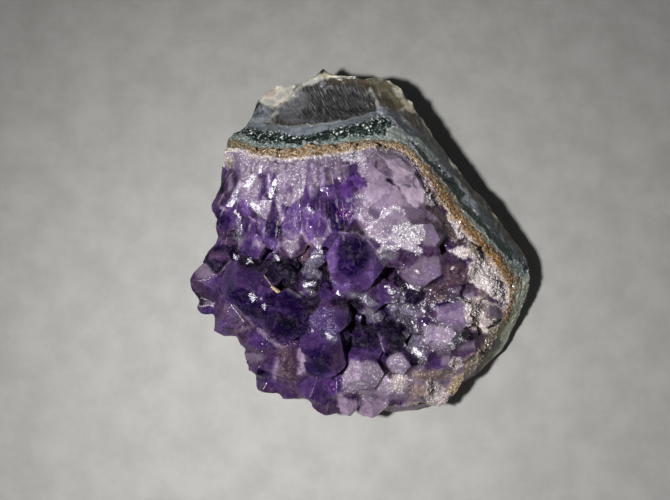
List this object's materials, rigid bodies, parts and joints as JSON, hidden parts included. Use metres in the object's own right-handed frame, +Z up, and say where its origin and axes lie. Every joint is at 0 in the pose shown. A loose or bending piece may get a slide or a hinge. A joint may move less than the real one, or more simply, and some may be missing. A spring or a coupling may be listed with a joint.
{
  "type": "amethyst geode",
  "caption": "Broken piece of an amethyst geode: a banded agate rind, thick along one side, lined with a crust of pointed purple quartz crystals.",
  "frame": {"origin": "under the middle of the piece, on the level of its resting face", "axes": "+Z up through the crystals, +Y towards the thick stretch of rind, +X towards the rind's long right edge"},
  "size_m": [0.0826, 0.0846, 0.0385],
  "materials": {
    "agate_rind": "dark grey agate, blue-grey, green and ochre bands, dull weathered skin",
    "amethyst": "see-through quartz, pale at the roots and deep violet at the tips, with frosty patches"
  },
  "bodies": {
    "root": {"rind": "agate_rind", "amethyst_crust": "amethyst"}
  },
  "joints": []
}
